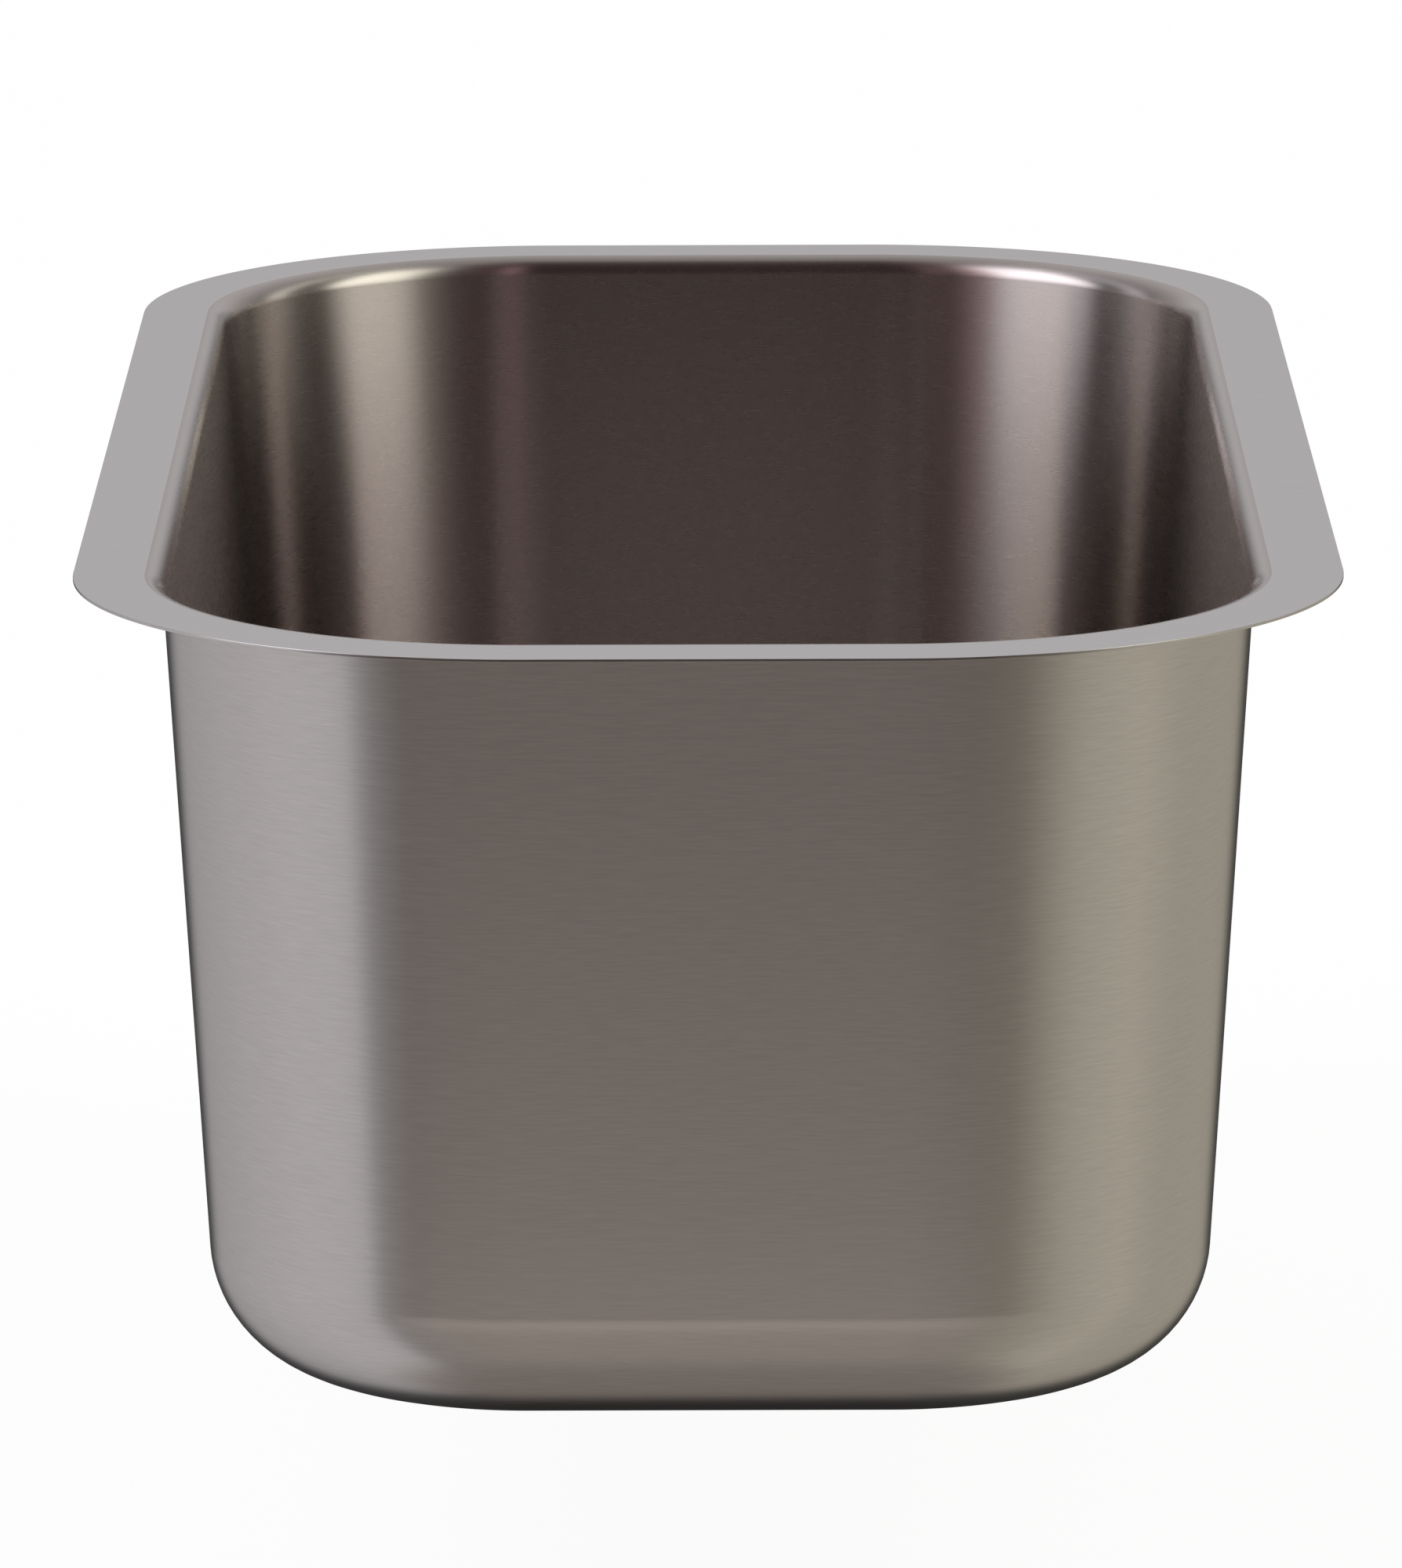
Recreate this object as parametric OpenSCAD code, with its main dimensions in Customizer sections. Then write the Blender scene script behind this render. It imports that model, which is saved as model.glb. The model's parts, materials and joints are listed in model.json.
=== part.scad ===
// Pedicure foot bath: a deep-drawn stainless steel bowl that drops into a bench by its
// flange, with a basket waste in its floor. Millimetres, +Z up, the long side along Y.
// The origin is the middle of the bowl's mouth, in the plane of the flange's underside.

/* [Bowl] */
// Width over the flange, along X
flange_width = 330; // [310:5:400]
// Length over the flange, along Y
flange_length = 640; // [560:5:760]
// Corner radius of the flange's outer edge
flange_corner_r = 118; // [112:1:135]
// Depth from the top of the flange to the underside of the floor
bowl_depth = 211; // [180:1:260]
// Thickness of the steel sheet
sheet_t = 0.8; // [0.8:0.1:1.5]
// Distance from the flange's edge to the outside of the wall
ledge = 23; // [20:1:30]
// Radius where the flange bends into the wall, on the upper face
rim_bend_r = 5.5; // [4:0.5:8]
// Radius where the wall bends into the floor, on the outer face
floor_bend_r = 34; // [25:1:40]
// Slope of the walls from upright, in degrees
draft = 3.4; // [1:0.1:4]

/* [Drain seat] */
// Radius of the hole in the floor
hole_r = 27; // [26:0.5:30]
// Depth of the pressed seat around the hole
seat_depth = 4; // [3:0.5:6]
// Radius of the flat of the seat
seat_r = 40; // [39.5:0.5:42]
// Radius where the seat's slope meets the floor
seat_mouth_r = 45; // [44:0.5:48]

/* [Waste body] */
// Radius of the strainer body's rim
rim_r = 38.5; // [37:0.5:39]
// Thickness of the rim at its edge
rim_t = 1.2; // [1:0.1:1.6]
// Thickness of the sealing ring under the rim
rim_seal_t = 1; // [0.8:0.1:1.5]
// Radius over the body's thread
thread_r = 24.5; // [24.2:0.1:25]
// Radius inside the body
well_r = 22.5; // [22:0.1:22.6]
// Length of the body below its rim
body_length = 42; // [40:1:46]
// Spacing of the thread's ridges
thread_pitch = 2.2; // [1.8:0.1:2.5]

/* [Outlet] */
// Radius over the tailpiece, for a 38.1 mm slip joint
tail_r = 19.05; // [18.9:0.05:19.2]
// Length of the tailpiece below its collar
tail_length = 14; // [10:1:60]

/* [Hidden] */
$fn = 96;

slack = 0.1;          // clearance between a plain bore and the ridges that it runs over
cut = 1;              // how far a cutter runs past the face that it opens

// bowl
under_bend_r = rim_bend_r - sheet_t;
floor_under_z = sheet_t - bowl_depth;
floor_z = floor_under_z + sheet_t;
rim_bend_c = [ledge - under_bend_r * (1 - sin(draft)) / cos(draft), -under_bend_r];
floor_bend_z = floor_under_z + floor_bend_r;
floor_bend_c = [
    ledge + (floor_bend_r - floor_bend_z * sin(draft)) / cos(draft), floor_bend_z
];
side_run = flange_length - 2 * flange_corner_r;
end_run = flange_width - 2 * flange_corner_r;

// drain seat
seat_z = floor_z - seat_depth;
seat_under_z = seat_z - sheet_t;
seat_lap = 0.5;       // how far the pressed seat runs on into the flat floor

// waste body
rim_under_z = seat_z + rim_seal_t;
rim_top_z = rim_under_z + rim_t;
body_end_z = rim_under_z - body_length;
mouth_r = 28;         // where the rim starts to fall into the well
neck_r = hole_r - 0.6; // under the rim, inside the hole in the floor
rim_chamfer = 1;
seal_inset = 1;       // from the sealing ring's edges to the hole and to the rim's edge
thread_depth = 0.8;
thread_flank = 0.4;   // share of the spacing that each side of a groove takes
thread_start = 1;     // plain length below the first groove
thread_top_z = seat_under_z - 2;
bar_z = body_end_z + 8;
bar_w = 3;            // width of a cross bar
bar_t = 2.2;
bar_lap = 1;          // how far a cross bar runs into the ledge
ledge_z = bar_z - 0.4;
ledge_top_z = bar_z + 4;
ledge_bore_r = 18.6;  // radius of the opening inside the ledge
boss_r = 5.2;
boss_drop = 2;        // how far the boss hangs below the cross bars
boss_bore_r = 3.3;
boss_h = boss_drop + bar_t + 0.3;

// clamping rings under the floor
gasket_t = 3;
gasket_r = 37;
friction_t = 1.5;
friction_r = 36;
ring_bore_r = thread_r + 0.3;
locknut_h = 9;
locknut_r = 33;
lug_count = 6;
lug_r = 5;            // radius of a lug's round end
lug_step = 2;         // from the lugs' upper face to the nut's
gasket_z = seat_under_z - gasket_t;
friction_z = gasket_z - friction_t;
locknut_z = friction_z - locknut_h;

// outlet
tail_t = 0.9;
collar_r = 22.6;
collar_t = 1.2;
root_r = tail_r + 0.6; // over the sleeve that joins the collar to the tube
tail_washer_t = 1.5;
tail_washer_z = body_end_z - tail_washer_t;
collar_z = tail_washer_z - collar_t;
tail_end_z = collar_z - tail_length;
nut_lip_t = 3;
nut_wall_r = 29;
nut_grip_z = 9;       // length of the nut's grip on the body's thread
nut_ribs = 20;
rib_r = 1.2;
rib_margin = 1.5;     // plain band at each end of the ribs
nut_z = collar_z - nut_lip_t;

// basket, with its stopper down on the ledge
rest_gap = 0.3;
post_r = 2.5;
stopper_r = 20.8;
stopper_t = 4;
stopper_bevel = 1.4;  // round the edge that meets the ledge
stopper_top_bevel = 1;
stopper_z = ledge_top_z + rest_gap;
stopper_washer_t = 0.8;
stopper_washer_r = 12;
basket_t = 0.8;
basket_r = 21.4;
basket_bend_r = 2.4;  // where the wall turns into the floor, on the outer face
basket_z = stopper_z + stopper_t + stopper_washer_t;
basket_rim_r = 25.5;
basket_rim_z = rim_top_z + 0.2;
basket_lip_w = 1;     // flat on the basket's rim
flare_z = rim_top_z - 4;
flare_rise = 0.6;     // the flare's inner foot stands this far above its outer one
slot_count = 14;
slot_w = 2.6;
slot_cut = 3;         // how far a slot's cutter reaches each side of the wall
slot_low = 5;         // from the basket's underside to the slots
slot_high = 3;        // from the slots to the flare
floor_holes = 8;
floor_hole_r = 2;
floor_hole_ring_r = 15.5;
basket_hole_r = post_r + 0.3;
tip_r = 3;
tip_chamfer = 1;
tip_z = body_end_z + 1;
post_flange_r = 6.5;
post_flange_t = 1.2;
post_nut_r = 5;       // radius over the nut's corners
post_nut_t = 3;
knob_z = rim_top_z - 10;
knob_stem_r = 4;
knob_r = 8.5;
knob_dome_r = 9.5;
knob_h = 13;
knob_cap_h = 5;
knob_bore_h = 6;
grip_z = bar_z + 0.6;
grip_groove_r = 2.4;
grip_wire_r = 0.4;

// Points along an arc about a centre, from one angle to another.
function arc(centre, r, from, to, steps) = [
    for (i = [0 : steps])
        let (a = from + (to - from) * i / steps)
            centre + r * [cos(a), sin(a)]
];

// Section through the sheet, from the flange's edge at x = 0 inwards to the corner's centre.
module sheet_section() {
    polygon(concat(
        [[0, 0], [0, sheet_t]],
        arc(rim_bend_c, rim_bend_r, 90, draft, 6),
        arc(floor_bend_c, floor_bend_r - sheet_t, 180 + draft, 270, 12),
        [[flange_corner_r, floor_z], [flange_corner_r, floor_under_z]],
        arc(floor_bend_c, floor_bend_r, 270, 180 + draft, 12),
        arc(rim_bend_c, under_bend_r, draft, 90, 6)
    ));
}

module bowl_corner() {
    rotate_extrude(angle = 90) translate([flange_corner_r, 0]) mirror([1, 0]) sheet_section();
}

// A straight stretch of flange, wall and floor, centred on X, with its edge at y = 0.
module bowl_side(run) {
    translate([-run / 2, 0, 0]) rotate([90, 0, 90]) linear_extrude(run) sheet_section();
}

module bowl_shell() {
    for (sx = [0, 1], sy = [0, 1])
        mirror([sx, 0, 0]) mirror([0, sy, 0])
            translate([end_run / 2, side_run / 2, 0]) bowl_corner();
    for (turn = [0, 180]) rotate(turn) {
        translate([0, -flange_length / 2, 0]) bowl_side(end_run);
        rotate(90) translate([0, -flange_width / 2, 0]) bowl_side(side_run);
    }
    translate([-end_run / 2, -side_run / 2, floor_under_z]) cube([end_run, side_run, sheet_t]);
}

module drain_seat() {
    rotate_extrude() polygon([
        [hole_r, seat_under_z], [hole_r, seat_z], [seat_r, seat_z], [seat_mouth_r, floor_z],
        [seat_mouth_r + seat_lap, floor_z], [seat_mouth_r + seat_lap, floor_under_z],
        [seat_r + sheet_t / 2, seat_under_z]
    ]);
}

module basin() {
    color("lightsteelblue") union() {
        difference() {
            bowl_shell();
            translate([0, 0, floor_under_z - cut]) cylinder(r = seat_mouth_r, h = sheet_t + 2 * cut);
        }
        drain_seat();
    }
}

module ring(r_in, r_out, z, h) {
    translate([0, 0, z]) difference() {
        cylinder(r = r_out, h = h);
        translate([0, 0, -cut]) cylinder(r = r_in, h = h + 2 * cut);
    }
}

module rim_seal() {
    color("dimgray") ring(hole_r + seal_inset, rim_r - seal_inset, seat_z, rim_seal_t);
}

// Points down the V grooves of the thread, from the lowest groove up.
function thread_outline(z_low, z_high) = [
    for (i = [0 : floor((z_high - z_low) / thread_pitch) - 1])
        each [
            [thread_r, z_low + i * thread_pitch],
            [thread_r - thread_depth, z_low + (i + thread_flank) * thread_pitch],
            [thread_r, z_low + (i + 2 * thread_flank) * thread_pitch]
        ]
];

module turned_body() {
    mouth_bend_r = mouth_r - well_r;
    rotate_extrude() polygon(concat(
        [[well_r, body_end_z], [thread_r, body_end_z]],
        thread_outline(body_end_z + thread_start, thread_top_z),
        [
            [thread_r, seat_under_z + slack], [neck_r, rim_under_z],
            [rim_r, rim_under_z], [rim_r, rim_under_z + rim_t / 2], [rim_r - rim_chamfer, rim_top_z]
        ],
        arc([mouth_r, rim_top_z - mouth_bend_r], mouth_bend_r, 90, 180, 6),
        [
            [well_r, ledge_top_z], [ledge_bore_r, ledge_top_z],
            [ledge_bore_r, ledge_z], [well_r, ledge_z]
        ]
    ));
}

// The cross bars carry the boss that the basket's post slides in.
module cross_bars() {
    translate([0, 0, bar_z]) linear_extrude(bar_t)
        for (turn = [0, 90]) rotate(turn)
            square([2 * (ledge_bore_r + bar_lap), bar_w], center = true);
    translate([0, 0, bar_z - boss_drop]) cylinder(r = boss_r, h = boss_h);
}

module strainer_body() {
    color("silver") difference() {
        union() {
            turned_body();
            cross_bars();
        }
        translate([0, 0, bar_z - boss_drop - cut]) cylinder(r = boss_bore_r, h = boss_h + 2 * cut);
    }
}

module drain_gasket() {
    color("black") ring(ring_bore_r, gasket_r, gasket_z, gasket_t);
}

module friction_washer() {
    color("tan") ring(ring_bore_r, friction_r, friction_z, friction_t);
}

module locknut() {
    color("goldenrod") translate([0, 0, locknut_z]) difference() {
        union() {
            cylinder(r = locknut_r, h = locknut_h);
            for (i = [0 : lug_count - 1]) rotate(i * 360 / lug_count)
                translate([locknut_r, 0, 0]) cylinder(r = lug_r, h = locknut_h - lug_step);
        }
        translate([0, 0, -cut]) cylinder(r = thread_r + slack, h = locknut_h + 2 * cut);
    }
}

module tailpiece_washer() {
    color("white") ring(tail_r - 1, collar_r, tail_washer_z, tail_washer_t);
}

module tailpiece() {
    color("gainsboro") difference() {
        union() {
            translate([0, 0, collar_z]) cylinder(r = collar_r, h = collar_t);
            translate([0, 0, collar_z - nut_lip_t]) cylinder(r = root_r, h = nut_lip_t);
            translate([0, 0, tail_end_z]) cylinder(r = tail_r, h = tail_length);
        }
        translate([0, 0, tail_end_z - cut])
            cylinder(r = tail_r - tail_t, h = tail_length + collar_t + 2 * cut);
    }
}

module coupling_nut() {
    grip_top = body_end_z + nut_grip_z;
    color("gainsboro") translate([0, 0, nut_z]) difference() {
        union() {
            cylinder(r = nut_wall_r, h = grip_top - nut_z);
            for (i = [0 : nut_ribs - 1]) rotate(i * 360 / nut_ribs)
                translate([nut_wall_r, 0, rib_margin])
                    cylinder(r = rib_r, h = grip_top - nut_z - 2 * rib_margin);
        }
        translate([0, 0, -cut]) cylinder(r = root_r + slack, h = nut_lip_t + 2 * cut);
        translate([0, 0, nut_lip_t]) cylinder(r = thread_r + slack, h = grip_top - nut_z);
    }
}

// Section through the basket's wall, from its floor up to its rim and back down inside.
module basket_section() {
    bend_c = [basket_r - basket_bend_r, basket_z + basket_bend_r];
    polygon(concat(
        [[basket_hole_r, basket_z]],
        arc(bend_c, basket_bend_r, 270, 360, 4),
        [
            [basket_r, flare_z], [basket_rim_r, basket_rim_z], [basket_rim_r, basket_rim_z + basket_t],
            [basket_rim_r - basket_lip_w, basket_rim_z + basket_t], [basket_r - basket_t, flare_z + flare_rise]
        ],
        arc(bend_c, basket_bend_r - basket_t, 360, 270, 4),
        [[basket_hole_r, basket_z + basket_t]]
    ));
}

module strainer_basket() {
    color("silver") difference() {
        rotate_extrude() basket_section();
        for (i = [0 : slot_count - 1]) rotate(i * 360 / slot_count)
            translate([basket_r - slot_cut, -slot_w / 2, basket_z + slot_low])
                cube([2 * slot_cut, slot_w, flare_z - slot_high - basket_z - slot_low]);
        for (i = [0 : floor_holes - 1]) rotate(i * 360 / floor_holes)
            translate([floor_hole_ring_r, 0, basket_z - cut])
                cylinder(r = floor_hole_r, h = basket_t + 2 * cut);
    }
}

module stopper() {
    color("black") difference() {
        rotate_extrude() polygon([
            [0, stopper_z], [stopper_r - stopper_bevel, stopper_z], [stopper_r, stopper_z + stopper_bevel],
            [stopper_r, stopper_z + stopper_t - stopper_top_bevel],
            [stopper_r - stopper_top_bevel, stopper_z + stopper_t], [0, stopper_z + stopper_t]
        ]);
        translate([0, 0, stopper_z - cut]) cylinder(r = post_r + slack, h = stopper_t + 2 * cut);
    }
}

module stopper_washer() {
    color("silver") ring(
        post_r + slack, stopper_washer_r, basket_z - stopper_washer_t, stopper_washer_t);
}

// The tip runs in the cross bars' boss, and the flange above it carries the stopper.
module basket_post() {
    color("silver") difference() {
        union() {
            translate([0, 0, stopper_z]) cylinder(r = post_r, h = knob_z + knob_bore_h - stopper_z);
            translate([0, 0, stopper_z - post_flange_t]) cylinder(r = post_flange_r, h = post_flange_t);
            translate([0, 0, tip_z]) cylinder(r = tip_r, h = stopper_z - post_flange_t - tip_z);
            translate([0, 0, tip_z - tip_chamfer])
                cylinder(r1 = tip_r - tip_chamfer, r2 = tip_r, h = tip_chamfer);
        }
        ring(grip_groove_r, tip_r + cut, grip_z - grip_wire_r, 2 * grip_wire_r);
    }
}

module post_nut() {
    color("silver") translate([0, 0, basket_z + basket_t]) difference() {
        cylinder(r = post_nut_r, h = post_nut_t, $fn = 6);
        translate([0, 0, -cut]) cylinder(r = post_r + slack, h = post_nut_t + 2 * cut);
    }
}

module grip_ring() {
    color("black") translate([0, 0, grip_z]) rotate_extrude()
        translate([grip_groove_r + grip_wire_r, 0]) circle(r = grip_wire_r);
}

module basket_knob() {
    color("silver") translate([0, 0, knob_z]) difference() {
        rotate_extrude() union() {
            square([knob_stem_r, knob_h - knob_cap_h]);
            translate([0, knob_h - knob_cap_h]) intersection() {
                square([knob_r, knob_cap_h]);
                translate([0, knob_cap_h - knob_dome_r]) circle(r = knob_dome_r);
            }
        }
        translate([0, 0, -cut]) cylinder(r = post_r + slack, h = knob_bore_h + cut);
    }
}

basin();
rim_seal();
strainer_body();
drain_gasket();
friction_washer();
locknut();
tailpiece_washer();
tailpiece();
coupling_nut();
strainer_basket();
stopper();
stopper_washer();
basket_post();
post_nut();
basket_knob();
grip_ring();
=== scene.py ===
import json
import math

import bmesh
import bpy
from mathutils import Matrix, Vector


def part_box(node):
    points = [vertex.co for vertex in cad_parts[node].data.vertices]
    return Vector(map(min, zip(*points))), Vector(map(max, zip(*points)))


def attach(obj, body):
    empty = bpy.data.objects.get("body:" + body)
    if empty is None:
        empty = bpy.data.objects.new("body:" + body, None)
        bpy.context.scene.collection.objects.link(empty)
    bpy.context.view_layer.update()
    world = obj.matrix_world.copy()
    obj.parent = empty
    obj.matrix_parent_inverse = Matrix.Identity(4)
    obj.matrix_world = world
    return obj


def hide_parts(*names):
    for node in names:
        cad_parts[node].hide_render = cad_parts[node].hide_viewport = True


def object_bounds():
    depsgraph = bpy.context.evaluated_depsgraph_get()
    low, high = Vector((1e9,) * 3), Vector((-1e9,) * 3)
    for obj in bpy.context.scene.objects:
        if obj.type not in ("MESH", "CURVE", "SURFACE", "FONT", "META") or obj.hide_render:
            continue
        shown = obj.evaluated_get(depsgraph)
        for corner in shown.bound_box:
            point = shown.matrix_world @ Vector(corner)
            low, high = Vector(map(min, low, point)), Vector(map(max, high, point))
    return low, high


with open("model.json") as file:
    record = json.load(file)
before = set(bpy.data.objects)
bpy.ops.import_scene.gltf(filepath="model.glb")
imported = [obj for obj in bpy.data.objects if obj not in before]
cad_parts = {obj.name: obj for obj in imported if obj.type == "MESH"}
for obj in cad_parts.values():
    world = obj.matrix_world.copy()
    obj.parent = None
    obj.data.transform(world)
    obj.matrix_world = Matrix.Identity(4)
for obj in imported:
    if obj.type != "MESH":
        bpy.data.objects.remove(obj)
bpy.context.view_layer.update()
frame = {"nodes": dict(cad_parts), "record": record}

mm = 0.001
tiny = 0.01 * mm  # points nearer than this are the same point

camera = {  # a long lens in front of the bowl's short end, a little above its rim
    "place": (1.3 * mm, -3289 * mm, 592.8 * mm),
    "lookDown": math.radians(11.868),
    "turnLeft": math.radians(0.062),
    "roll": math.radians(-0.179),
    "lens": 277.6,
    "farthest": 50,  # metres
}


def placeCamera():
    bpy.ops.object.camera_add(location=camera["place"])
    eye = bpy.context.object
    turn = Matrix.Rotation(camera["turnLeft"], 3, "Z")
    tilt = Matrix.Rotation(math.pi / 2 - camera["lookDown"], 3, "X")
    lean = Matrix.Rotation(camera["roll"], 3, "Z")
    eye.rotation_euler = (turn @ tilt @ lean).to_euler()
    eye.data.lens = camera["lens"]
    eye.data.clip_end = camera["farthest"]
    bpy.context.scene.camera = eye
    bpy.context.scene.view_settings.view_transform = "Standard"


placeCamera()
print("camera placed")


def deselect():
    bpy.ops.object.select_all(action="DESELECT")


def only(piece):
    deselect()
    piece.select_set(True)
    bpy.context.view_layer.objects.active = piece


def editStart(piece):
    only(piece)
    bpy.ops.object.mode_set(mode="EDIT")


def editEnd():
    bpy.ops.object.mode_set(mode="OBJECT")


def pick(piece, kind, test):
    # selects the verts, edges or faces that pass the test, and nothing else
    shape = bmesh.from_edit_mesh(piece.data)
    shape.select_mode = {kind}
    bpy.ops.mesh.select_all(action="DESELECT")
    bpy.context.tool_settings.mesh_select_mode = (kind == "VERT", kind == "EDGE", kind == "FACE")
    for item in {"VERT": shape.verts, "EDGE": shape.edges, "FACE": shape.faces}[kind]:
        if test(item):
            item.select_set(True)
    bmesh.update_edit_mesh(piece.data)


def applyModifier(piece, kind, **settings):
    only(piece)
    added = piece.modifiers.new(kind.lower(), kind)
    for name, value in settings.items():
        setattr(added, name, value)
    bpy.ops.object.modifier_apply(modifier=added.name)


def settle(piece):
    only(piece)
    bpy.ops.object.transform_apply(location=True, rotation=True, scale=True)


def addNode(tree, kind, settings=None, inputs=None):
    # one node, with its settings, and its inputs linked to sockets or set to values
    node = tree.nodes.new(kind)
    for name, value in (settings or {}).items():
        setattr(node, name, value)
    for name, value in (inputs or {}).items():
        if isinstance(value, bpy.types.NodeSocket):
            tree.links.new(value, node.inputs[name])
        else:
            node.inputs[name].default_value = value
    return node


def fromHex(code):
    # an sRGB hex colour as linear values
    parts = [int(code[i:i + 2], 16) / 255 for i in (1, 3, 5)]
    return tuple(c / 12.92 if c <= 0.04045 else ((c + 0.055) / 1.055) ** 2.4 for c in parts) + (1.0,)


bowl = {
    "cornerRadius": 118 * mm,  # outer edge of the flange
    "ledge": 23 * mm,          # from the flange's edge to the outside of the wall
    "sheet": 0.8 * mm,
    "rimBend": 5.5 * mm,       # upper face
    "floorBend": 34 * mm,      # outer face
    "draft": math.radians(3.4),  # the walls lean in towards the floor
    "seatMouth": 45 * mm,      # radii of the seat that is pressed round the drain
    "seatFlat": 40 * mm,
    "seatDepth": 4 * mm,
    "seatBend": 2.5 * mm,
    "seatMargin": 1 * mm,      # flat ring kept outside the seat's bend, so that its shading stays crisp
    "flangeMargin": 0.4 * mm,  # the same beside the rim's bend
    "drainHole": 27 * mm,
    "cornerSteps": 40,         # faces round each bend
    "rimSteps": 10,
    "wallSteps": 6,
    "floorSteps": 18,
    "seatSteps": 5,
    "edgeBevel": 0.12 * mm,
    "edgeSegments": 2,
    "edgeAngle": math.radians(60),  # edges sharper than this are bevelled
    "evenShading": 50,         # weight of large faces in the normals, which keeps flats flat
}
bowlLow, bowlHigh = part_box("basin")
cornerX = bowlHigh.x - bowl["cornerRadius"]  # each corner turns about this point of its quarter
cornerY = bowlHigh.y - bowl["cornerRadius"]


def bowlSection():
    # where the bends turn, as (distance in from the flange's edge, height), for the upper face
    sheet = bowl["sheet"]
    slope = bowl["draft"]
    rimTop = bowlHigh.z
    floorTop = bowlLow.z + sheet + bowl["seatDepth"]
    under = bowl["rimBend"] - sheet
    rimIn = bowl["ledge"] - under * (1 - math.sin(slope)) / math.cos(slope)
    floorZ = floorTop - sheet + bowl["floorBend"]
    run = bowl["floorBend"] - (floorZ - rimTop + sheet) * math.sin(slope)
    return {
        "rimTop": rimTop,
        "floorTop": floorTop,
        "rimCentre": (rimIn, rimTop - bowl["rimBend"]),
        "floorCentre": (bowl["ledge"] + run / math.cos(slope), floorZ),
    }


section = bowlSection()


def drawSection(piece):
    # a chain of edges from the flange's edge to the flat of the floor, drawn with extrude and spin
    rimCentre = section["rimCentre"]
    floorCentre = section["floorCentre"]
    floorBend = bowl["floorBend"] - bowl["sheet"]
    slope = bowl["draft"]
    editStart(piece)
    bpy.ops.mesh.select_all(action="SELECT")
    bpy.ops.mesh.merge(type="CENTER")

    def step(dx, dz):
        bpy.ops.mesh.extrude_region_move(TRANSFORM_OT_translate={"value": (dx, 0, dz)})

    def arc(centre, angle, steps):  # spin counts its angle the other way round
        bpy.ops.mesh.spin(
            steps=steps, angle=-angle, center=(bowlHigh.x - centre[0], cornerY, centre[1]), axis=(0, 1, 0)
        )

    step(-rimCentre[0] / 2, 0)
    step(-rimCentre[0] / 2 + bowl["flangeMargin"], 0)
    step(-bowl["flangeMargin"], 0)
    arc(rimCentre, -(math.pi / 2 - slope), bowl["rimSteps"])
    wallTop = (
        rimCentre[0] + bowl["rimBend"] * math.cos(slope), rimCentre[1] + bowl["rimBend"] * math.sin(slope)
    )
    wallEnd = (floorCentre[0] - floorBend * math.cos(slope), floorCentre[1] - floorBend * math.sin(slope))
    for _ in range(bowl["wallSteps"]):
        step(-(wallEnd[0] - wallTop[0]) / bowl["wallSteps"], (wallEnd[1] - wallTop[1]) / bowl["wallSteps"])
    arc(floorCentre, math.pi / 2 - slope, bowl["floorSteps"])
    editEnd()


def modelWalls():
    # the section is spun round one corner, drawn out along both sides and mirrored
    deselect()
    bpy.ops.mesh.primitive_plane_add(size=1 * mm, location=(bowlHigh.x, cornerY, section["rimTop"]))
    piece = bpy.context.object
    piece.name = "bowl"
    settle(piece)
    drawSection(piece)

    editStart(piece)
    bpy.ops.mesh.select_all(action="SELECT")
    bpy.ops.mesh.spin(
        steps=bowl["cornerSteps"], angle=-math.pi / 2, center=(cornerX, cornerY, 0), axis=(0, 0, 1)
    )
    pick(piece, "EDGE", lambda e: all(abs(v.co.y - cornerY) < tiny and v.co.x > cornerX for v in e.verts))
    bpy.ops.mesh.extrude_region_move(TRANSFORM_OT_translate={"value": (0, -cornerY, 0)})
    pick(piece, "EDGE", lambda e: all(abs(v.co.x - cornerX) < tiny and v.co.y > cornerY for v in e.verts))
    bpy.ops.mesh.extrude_region_move(TRANSFORM_OT_translate={"value": (-cornerX, 0, 0)})
    editEnd()
    print("section spun", len(piece.data.vertices))
    applyModifier(piece, "MIRROR", use_axis=(True, True, False), use_clip=True, merge_threshold=tiny)
    return piece


seatSlope = math.atan2(bowl["seatDepth"], bowl["seatMouth"] - bowl["seatFlat"])
bendReach = bowl["seatBend"] * math.tan(seatSlope / 2)  # how far a bend reaches past its corner
seatEdge = bowl["seatMouth"] + bendReach + bowl["seatMargin"]


def closeFloor(piece):
    # a ring round the drain's seat, bridged to the foot of the walls
    floorTop = section["floorTop"]
    below = 60 * mm  # the ring is bridged from below the floor, then raised, so the loops pair up in order
    ringPoints = 4 * bowl["cornerSteps"] + 8  # as many as the foot of the walls has
    footX = bowlHigh.x - section["floorCentre"][0]
    footY = bowlHigh.y - section["floorCentre"][0]
    editStart(piece)
    bpy.ops.mesh.select_all(action="DESELECT")
    bpy.ops.mesh.primitive_circle_add(
        vertices=ringPoints, radius=seatEdge, location=(0, 0, floorTop - below)
    )

    def onLoop(e):
        level = all(min(abs(v.co.z - floorTop), abs(v.co.z - floorTop + below)) < tiny for v in e.verts)
        return level and len(e.link_faces) < 2 and all(
            math.hypot(v.co.x, v.co.y) < seatEdge + tiny
            or (abs(v.co.x) < footX + tiny and abs(v.co.y) < footY + tiny)
            for v in e.verts
        )

    pick(piece, "EDGE", onLoop)
    bpy.ops.mesh.bridge_edge_loops()
    pick(piece, "VERT", lambda v: abs(v.co.z - floorTop + below) < tiny)
    bpy.ops.transform.translate(value=(0, 0, below))
    editEnd()


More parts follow.
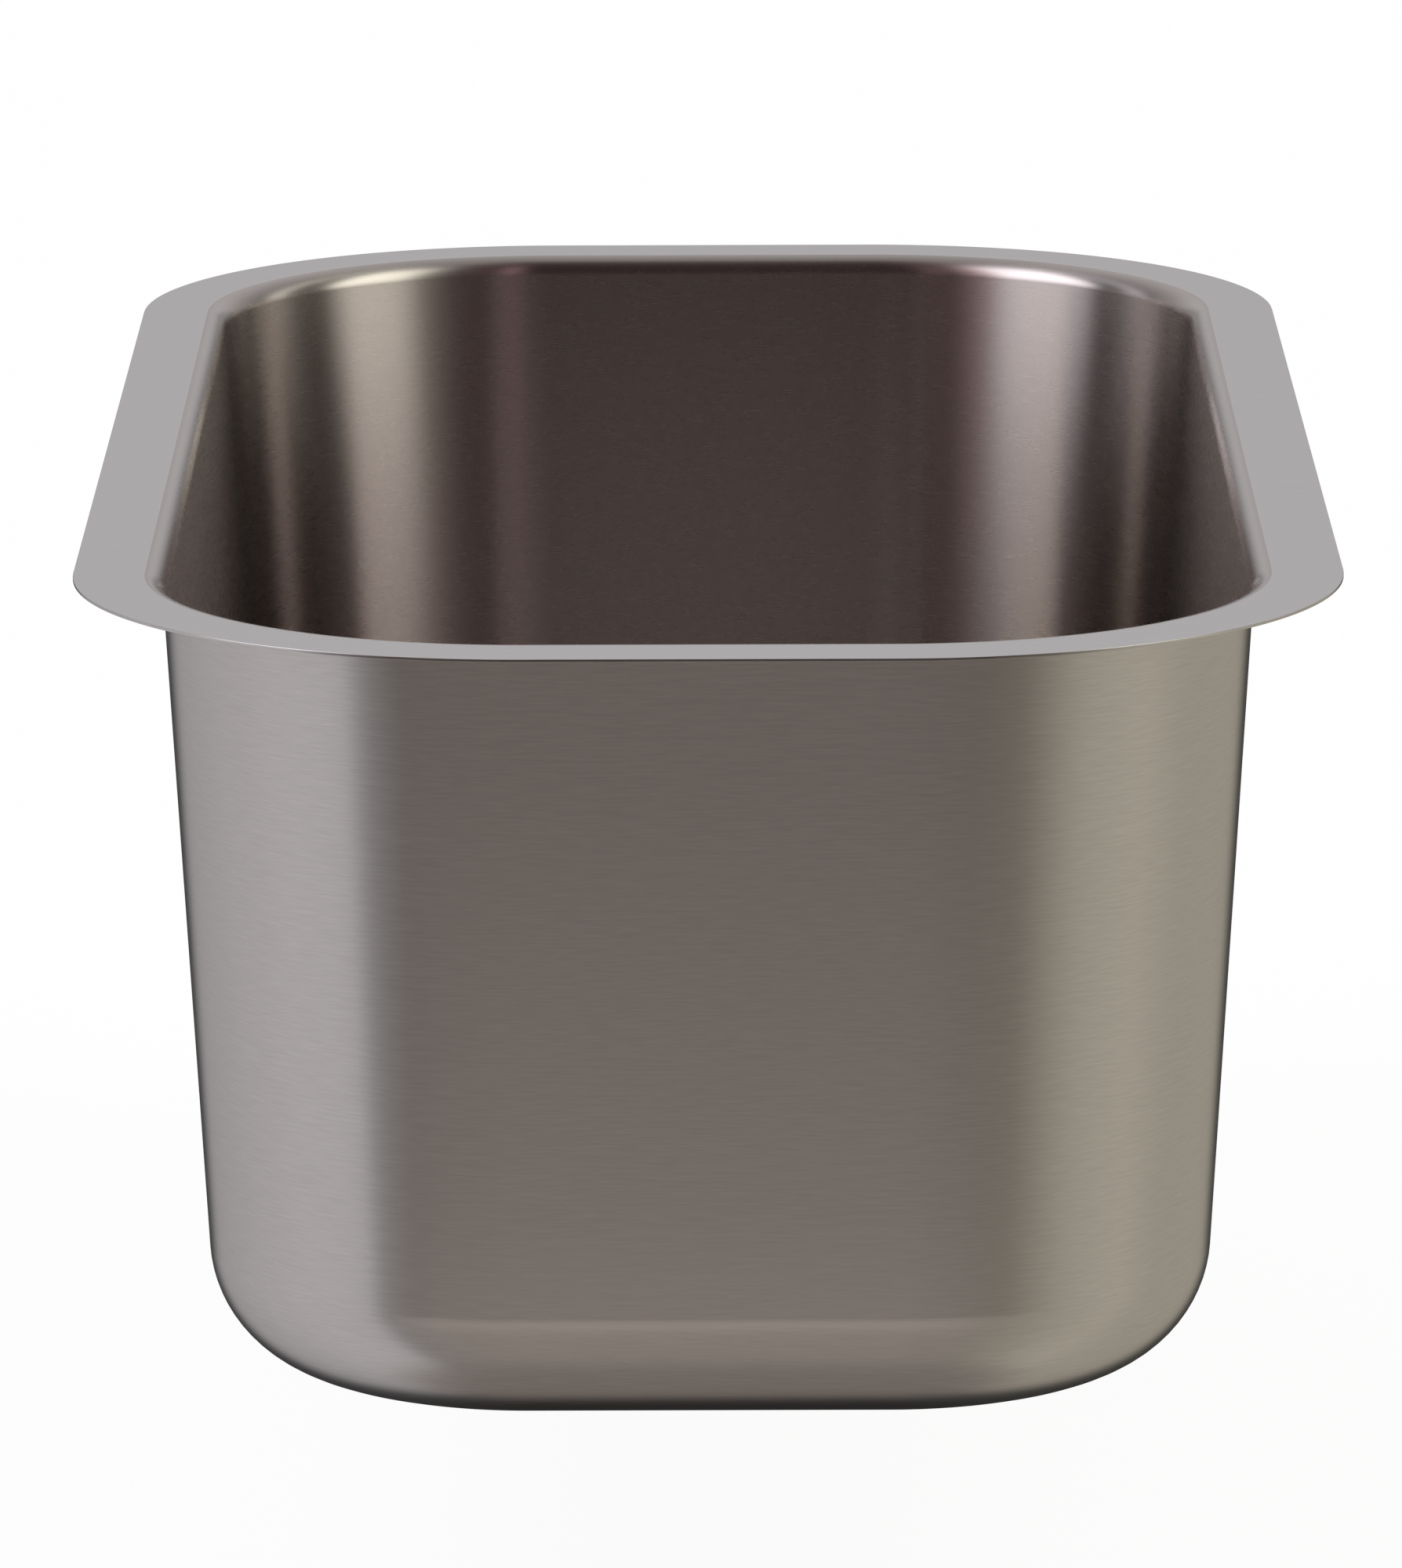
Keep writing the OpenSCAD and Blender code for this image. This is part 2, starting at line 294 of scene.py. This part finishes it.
def seatRings():
    # (radius, height) of each ring, from the floor down to the drain's hole
    floorTop = section["floorTop"]
    seatZ = floorTop - bowl["seatDepth"]
    mouth = bowl["seatMouth"] + bendReach
    foot = bowl["seatFlat"] - bendReach
    bend = bowl["seatBend"]
    angles = [seatSlope * i / bowl["seatSteps"] for i in range(bowl["seatSteps"] + 1)]
    upper = [(mouth - bend * math.sin(a), floorTop - bend * (1 - math.cos(a))) for a in angles]
    lower = [(foot + bend * math.sin(a), seatZ + bend * (1 - math.cos(a))) for a in reversed(angles)]
    return upper + lower + [(bowl["drainHole"], seatZ)]


def pressSeat(piece):
    nowR = seatEdge
    nowZ = section["floorTop"]
    editStart(piece)
    pick(piece, "EDGE", lambda e: all(
        abs(math.hypot(v.co.x, v.co.y) - nowR) < 2 * tiny and abs(v.co.z - nowZ) < tiny for v in e.verts
    ))
    for r, z in seatRings():
        bpy.ops.mesh.extrude_region_move(TRANSFORM_OT_translate={"value": (0, 0, z - nowZ)})
        bpy.ops.transform.resize(value=(r / nowR, r / nowR, 1), center_override=(0, 0, z))
        nowR = r
        nowZ = z
    editEnd()


def faceUpwards(piece):
    # the faces point into the bowl and up, so that the sheet's thickness goes on below them
    editStart(piece)
    bpy.ops.mesh.select_all(action="SELECT")
    bpy.ops.mesh.remove_doubles(threshold=tiny)
    bpy.ops.mesh.normals_make_consistent(inside=False)
    shape = bmesh.from_edit_mesh(piece.data)
    floorFace = min(shape.faces, key=lambda f: abs(f.calc_center_median().z - section["floorTop"]))
    if floorFace.normal.z < 0:
        bpy.ops.mesh.flip_normals()
    editEnd()
    print("shell closed", len(piece.data.vertices))


def finishBowl(piece):
    applyModifier(piece, "SOLIDIFY", thickness=bowl["sheet"], offset=-1.0, use_even_offset=True)
    applyModifier(
        piece, "BEVEL", width=bowl["edgeBevel"], segments=bowl["edgeSegments"], limit_method="ANGLE",
        angle_limit=bowl["edgeAngle"], harden_normals=False
    )
    only(piece)
    bpy.ops.object.shade_smooth()
    applyModifier(
        piece, "WEIGHTED_NORMAL", mode="FACE_AREA", weight=bowl["evenShading"], keep_sharp=False
    )


def newMaterial(name):
    made = bpy.data.materials.new(name)
    made.use_nodes = True
    tree = made.node_tree
    tree.nodes.clear()
    return made, tree


steelTone = "#C9C6C4"  # stainless reflects about 0.57 of the light, a little warm
paintedShadeTone = "#BBB3AE"   # painted shade: the steel's tone made darker and browner for the inside, in place of the light passed from wall to wall that grows browner

# Stainless sheet. The lines of a real belt finish are about 0.03 mm wide, too fine to show from here,
# so they are drawn 0.35 to 0.5 mm wide. The smaller the stretch along an axis, the longer they are.
bowlFinish = {
    "inside": {  # polished stainless, its tone darkened and browned as painted shade: clear upright bands of light between deep brown-grey ones
        "name": "polishedStainlessPaintedShade", "tone": paintedShadeTone, "roughness": 0.27, "grain": 0.5 * mm,
        "grainDepth": 0.002 * mm, "stretch": (0.06, 0.06, 1), "anisotropy": 0.9, "shade": 0.02,
    },
    "flange": {  # stainless brushed along X: an even pale grey, with hardly a highlight
        "name": "brushedStainless", "tone": steelTone, "roughness": 0.24, "grain": 0.35 * mm,
        "grainDepth": 0.01 * mm, "stretch": (0.03, 1, 1), "anisotropy": 0.2, "shade": 0.045,
    },
    "outside": {  # satin stainless: soft light and dark panels, with fine level lines close to
        "name": "satinStainless", "tone": steelTone, "roughness": 0.23, "grain": 0.5 * mm,
        "grainDepth": 0.008 * mm, "stretch": (0.06, 0.06, 1), "anisotropy": 0.45, "shade": 0.045,
    },
}
roughnessSpread = 0.06
acrossLines = {"Y": 0.08, "Z": 1.0}  # the way a reflection smears: up a wall, and along Y on a floor


def stainless(finish):
    made, tree = newMaterial(finish["name"])
    place = addNode(tree, "ShaderNodeTexCoord")
    scaled = addNode(tree, "ShaderNodeMapping", {}, {
        "Vector": place.outputs["Object"], "Scale": finish["stretch"],
    })
    grain = addNode(tree, "ShaderNodeTexNoise", {"noise_dimensions": "3D"}, {
        "Vector": scaled.outputs["Vector"], "Scale": 1 / finish["grain"], "Detail": 3.0, "Roughness": 0.6,
    })
    shade = addNode(tree, "ShaderNodeMapRange", {}, {
        "Value": grain.outputs["Fac"], "From Min": 0.3, "From Max": 0.7,
        "To Min": 1 - finish["shade"], "To Max": 1 + finish["shade"],
    })
    tinted = addNode(tree, "ShaderNodeMix", {"data_type": "RGBA", "blend_type": "MULTIPLY"}, {
        "Factor": 1.0, "A": fromHex(finish["tone"]), "B": shade.outputs["Result"],
    })
    rough = addNode(tree, "ShaderNodeMapRange", {}, {
        "Value": grain.outputs["Fac"], "To Min": finish["roughness"] * (1 - roughnessSpread),
        "To Max": finish["roughness"] * (1 + roughnessSpread),
    })
    bump = addNode(tree, "ShaderNodeBump", {}, {
        "Height": grain.outputs["Fac"], "Strength": 0.3, "Distance": finish["grainDepth"],
    })
    smear = addNode(tree, "ShaderNodeCombineXYZ", {}, acrossLines)
    shader = addNode(tree, "ShaderNodeBsdfPrincipled", {}, {
        "Base Color": tinted.outputs["Result"], "Metallic": 1.0, "Roughness": rough.outputs["Result"],
        "Normal": bump.outputs["Normal"], "Anisotropic": finish["anisotropy"],
        "Tangent": smear.outputs["Vector"],
    })
    addNode(tree, "ShaderNodeOutputMaterial", {}, {"Surface": shader.outputs["BSDF"]})
    return made


def paintBowl(piece):
    flat = 0.999       # how far a normal points up on the flange's top
    outward = 0.02     # and how far out on the outside
    downward = -0.3    # and down on the underside
    nearRim = 0.1 * mm
    slots = list(bowlFinish)
    for side in slots:
        piece.data.materials.append(stainless(bowlFinish[side]))
    for face in piece.data.polygons:
        middle = face.center
        fromAxis = Vector((
            math.copysign(max(abs(middle.x) - cornerX, 0), middle.x),
            math.copysign(max(abs(middle.y) - cornerY, 0), middle.y),
            0,
        ))
        facesOut = face.normal.dot(fromAxis.normalized()) if fromAxis.length > 0.001 * mm else 0
        if face.normal.z > flat and middle.z > section["rimTop"] - nearRim:
            face.material_index = slots.index("flange")
        elif facesOut > outward or face.normal.z < downward:
            face.material_index = slots.index("outside")
        else:
            # the inside's darker, browner tone is painted shade
            face.material_index = slots.index("inside")


bowlPiece = modelWalls()
closeFloor(bowlPiece)
pressSeat(bowlPiece)
faceUpwards(bowlPiece)
finishBowl(bowlPiece)
paintBowl(bowlPiece)
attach(bowlPiece, "bath")
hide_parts("basin")
print("bowl made", len(bowlPiece.data.polygons), flush=True)


wasteFinish = {  # the finish of each CAD node that stays, by its slot in the record
    "waste_steel": {  # bright stainless pressings: sharp small highlights that set them off from the bowl
        "name": "brightStainless", "tone": "#D0CECC", "metallic": 1.0, "roughness": 0.16, "grain": 2.0 * mm,
    },
    "seal_rubber": {  # moulded black rubber: dull and nearly black, with a faint pebble
        "name": "mouldedRubber", "tone": "#1C1C1D", "metallic": 0.0, "roughness": 0.6, "grain": 0.8 * mm,
    },
    "fibre": {  # vulcanised fibre, punched from sheet: dry tan with a paper mottle
        "name": "vulcanisedFibre", "tone": "#9A7B56", "metallic": 0.0, "roughness": 0.75, "grain": 0.6 * mm,
    },
    "nut_metal": {  # die-cast zinc with a yellow passivation: a dull golden grey, slightly grainy
        "name": "castZinc", "tone": "#B5A988", "metallic": 1.0, "roughness": 0.4, "grain": 0.7 * mm,
    },
    "white_plastic": {  # moulded polythene: soft waxy white
        "name": "mouldedPolythene", "tone": "#DEDEDA", "metallic": 0.0, "roughness": 0.45, "grain": 1.5 * mm,
    },
    "plated_brass": {  # chromium-plated brass: a bright mirror with a slight waviness from the tube
        "name": "platedBrass", "tone": "#DCDCDE", "metallic": 1.0, "roughness": 0.09, "grain": 3.0 * mm,
    },
}
wasteGrainDepth = 0.05 * mm


def wasteMaterial(finish):
    made, tree = newMaterial(finish["name"])
    place = addNode(tree, "ShaderNodeTexCoord")
    grain = addNode(tree, "ShaderNodeTexNoise", {}, {
        "Vector": place.outputs["Object"], "Scale": 1 / finish["grain"], "Detail": 3.0,
    })
    shade = addNode(tree, "ShaderNodeMapRange", {}, {
        "Value": grain.outputs["Fac"], "To Min": 0.9, "To Max": 1.1,
    })
    tinted = addNode(tree, "ShaderNodeMix", {"data_type": "RGBA", "blend_type": "MULTIPLY"}, {
        "Factor": 1.0, "A": fromHex(finish["tone"]), "B": shade.outputs["Result"],
    })
    bump = addNode(tree, "ShaderNodeBump", {}, {
        "Height": grain.outputs["Fac"], "Strength": 0.2, "Distance": wasteGrainDepth,
    })
    shader = addNode(tree, "ShaderNodeBsdfPrincipled", {}, {
        "Base Color": tinted.outputs["Result"], "Metallic": finish["metallic"],
        "Roughness": finish["roughness"], "Normal": bump.outputs["Normal"],
    })
    addNode(tree, "ShaderNodeOutputMaterial", {}, {"Surface": shader.outputs["BSDF"]})
    return made


def finishWaste():
    made = {slot: wasteMaterial(finish) for slot, finish in wasteFinish.items()}
    for part in frame["record"]["subparts"]:
        if part["node"] == "basin":
            continue
        wasteNode = frame["nodes"][part["node"]]
        if not wasteNode.data.materials:
            wasteNode.data.materials.append(made[part["material_slot"]])
        for place in wasteNode.material_slots:
            place.material = made[part["material_slot"]]


finishWaste()
print("waste finished")


studioFloor = {  # matt white board: a plain pale ground that shows only a faint shadow
    "size": 30.0,
    "drop": 0.5 * mm,    # below the lowest point of the object
    "tone": "#59595A",   # the glow does most of its brightness
    "glow": 0.93,
}


def layFloor():
    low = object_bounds()[0]
    deselect()
    bpy.ops.mesh.primitive_plane_add(size=studioFloor["size"], location=(0, 0, low.z - studioFloor["drop"]))
    floor = bpy.context.object
    floor.name = "studioFloor"
    made, tree = newMaterial("paleFloor")
    glow = addNode(tree, "ShaderNodeEmission", {}, {"Color": (1, 1, 1, 1), "Strength": studioFloor["glow"]})
    matt = addNode(tree, "ShaderNodeBsdfDiffuse", {}, {"Color": fromHex(studioFloor["tone"])})
    both = addNode(tree, "ShaderNodeAddShader", {}, {0: glow.outputs[0], 1: matt.outputs[0]})
    addNode(tree, "ShaderNodeOutputMaterial", {}, {"Surface": both.outputs[0]})
    floor.data.materials.append(made)
    floor.visible_glossy = False
    floor.visible_diffuse = False


tints = {
    "plain": (1.0, 1.0, 1.0),
    "cool": (1.02, 1.0, 1.03),
    "rosy": (1.55, 1.0, 1.08),
    "left": (1.03, 1.0, 1.01),
    "front": (1.13, 1.0, 0.91),
    "right": (1.08, 1.0, 0.84),
    "cream": (0.99, 1.0, 0.90),
    "pink": (1.01, 1.0, 1.10),
}

# The studio's light in level bands, from below to overhead. A stop is (degrees, brightness, tint), and
# the degrees count from straight in front of the bowl towards +X.
behindLeft = [(-180, 0.02, "plain"), (-162, 0.04, "plain")]
behindRight = [(162, 0.04, "plain"), (180, 0.02, "plain")]
leftSide = [
    (-150, 0.42, "left"), (-134, 0.50, "left"), (-115, 0.58, "left"), (-90, 0.63, "left"),
    (-60, 0.61, "left"), (-55, 0.30, "left"),
]
rightSide = [
    (63, 0.44, "right"), (90, 0.54, "right"), (110, 0.46, "right"), (134, 0.44, "right"),
    (150, 0.40, "right"),
]


def lowBand(inFront):
    return behindLeft + leftSide + inFront + rightSide + behindRight


bands = {
    "low": lowBand([
        (-35, 0.32, "front"), (0, 0.34, "front"), (22, 0.32, "front"), (42, 0.34, "right"),
    ]),
    "justBelow": lowBand([
        (-35, 0.62, "front"), (0, 0.71, "front"), (22, 0.65, "front"), (42, 0.44, "right"),
    ]),
    "nearLevel": lowBand([
        (-40, 0.06, "front"), (0, 0.03, "front"), (22, 0.04, "front"), (42, 0.14, "right"),
    ]),
    "high": [  # wide softboxes at the sides, narrow ones behind them, faint strips in front, a pale back
        (-180, 0.64, "cool"), (-160, 0.58, "cool"), (-130, 0.34, "cool"), (-124, 0.12, "plain"),
        (-119, 0.85, "pink"), (-111, 0.85, "pink"), (-106, 0.12, "pink"), (-94, 0.14, "pink"),
        (-87, 2.9, "pink"), (-54, 2.6, "pink"), (-45, 0.5, "rosy"), (-32, 0.05, "rosy"),
        (-25, 0.16, "rosy"), (-18, 0.03, "rosy"), (0, 0.03, "rosy"), (9, 0.03, "rosy"),
        (14, 0.34, "rosy"), (20, 0.06, "rosy"), (36, 0.07, "rosy"), (47, 0.3, "cream"),
        (58, 2.1, "cream"), (84, 2.6, "cream"), (89, 0.5, "cream"), (95, 0.12, "cream"),
        (108, 0.12, "cream"), (113, 1.2, "cream"), (120, 1.2, "cream"), (126, 0.2, "plain"),
        (131, 0.30, "cool"), (160, 0.58, "cool"), (180, 0.64, "cool"),
    ],
    "top": [
        (-180, 0.50, "plain"), (-90, 0.4, "plain"), (-40, 0.08, "rosy"), (0, 0.03, "rosy"),
        (40, 0.08, "rosy"), (90, 0.4, "plain"), (180, 0.50, "plain"),
    ],
}
underfoot = (0.24, "front")  # brightness and tint straight down

fades = {  # Z of the direction where one band fades into the one above it
    "underfoot": (-0.98, -0.85),
    "low": (-0.52, -0.43),
    "justBelow": (-0.42, -0.32),
    "nearLevel": (-0.05, 0.2),
    "high": (0.7, 0.95),
}


def light(value, tint):
    return tuple(value * share for share in tints[tint]) + (1,)


def bandLight(tree, turn, stops):
    # one band's light against the turn round the studio, where 0 and 1 are straight behind the bowl
    node = addNode(tree, "ShaderNodeValToRGB", {}, {"Fac": turn})
    node.color_ramp.interpolation = "LINEAR"
    marks = node.color_ramp.elements
    places = [(degrees + 180) / 360 for degrees, value, tint in stops]
    colours = [light(value, tint) for degrees, value, tint in stops]
    marks[0].position = places[0]
    marks[0].color = colours[0]
    marks[1].position = places[-1]
    marks[1].color = colours[-1]
    for place, colour in zip(places[1:-1], colours[1:-1]):
        marks.new(place).color = colour
    return node.outputs["Color"]


def fadeBands(tree, lift, limits, below, above):
    share = addNode(tree, "ShaderNodeMapRange", {"interpolation_type": "SMOOTHSTEP"}, {
        "Value": lift, "From Min": limits[0], "From Max": limits[1],
    })
    mixed = addNode(tree, "ShaderNodeMix", {"data_type": "RGBA"}, {
        "Factor": share.outputs["Result"], "A": below, "B": above,
    })
    return mixed.outputs["Result"]


def lightStudio():
    world = bpy.data.worlds.new("studio")
    world.use_nodes = True
    bpy.context.scene.world = world
    tree = world.node_tree
    tree.nodes.clear()
    sky = addNode(tree, "ShaderNodeTexCoord")
    axes = addNode(tree, "ShaderNodeSeparateXYZ", {}, {"Vector": sky.outputs["Generated"]})
    forward = addNode(tree, "ShaderNodeMath", {"operation": "MULTIPLY"}, {0: axes.outputs["Y"], 1: -1})
    angle = addNode(tree, "ShaderNodeMath", {"operation": "ARCTAN2"}, {
        0: axes.outputs["X"], 1: forward.outputs[0],
    })
    turn = addNode(tree, "ShaderNodeMapRange", {}, {
        "Value": angle.outputs[0], "From Min": -math.pi, "From Max": math.pi,
    }).outputs["Result"]
    glow = {name: bandLight(tree, turn, stops) for name, stops in bands.items()}
    lift = axes.outputs["Z"]
    reached = fadeBands(tree, lift, fades["low"], glow["low"], glow["justBelow"])
    reached = fadeBands(tree, lift, fades["justBelow"], reached, glow["nearLevel"])
    reached = fadeBands(tree, lift, fades["nearLevel"], reached, glow["high"])
    reached = fadeBands(tree, lift, fades["high"], reached, glow["top"])
    reached = fadeBands(tree, lift, fades["underfoot"], light(*underfoot), reached)
    studioLight = addNode(tree, "ShaderNodeBackground", {}, {"Color": reached, "Strength": 1.0})
    paper = addNode(tree, "ShaderNodeBackground", {}, {"Color": (1, 1, 1, 1), "Strength": 1.0})
    seen = addNode(tree, "ShaderNodeLightPath")
    both = addNode(tree, "ShaderNodeMixShader", {}, {
        "Fac": seen.outputs["Is Camera Ray"], 1: studioLight.outputs[0], 2: paper.outputs[0],
    })
    addNode(tree, "ShaderNodeOutputWorld", {}, {"Surface": both.outputs[0]})


lightStudio()
layFloor()
print("studio lit")
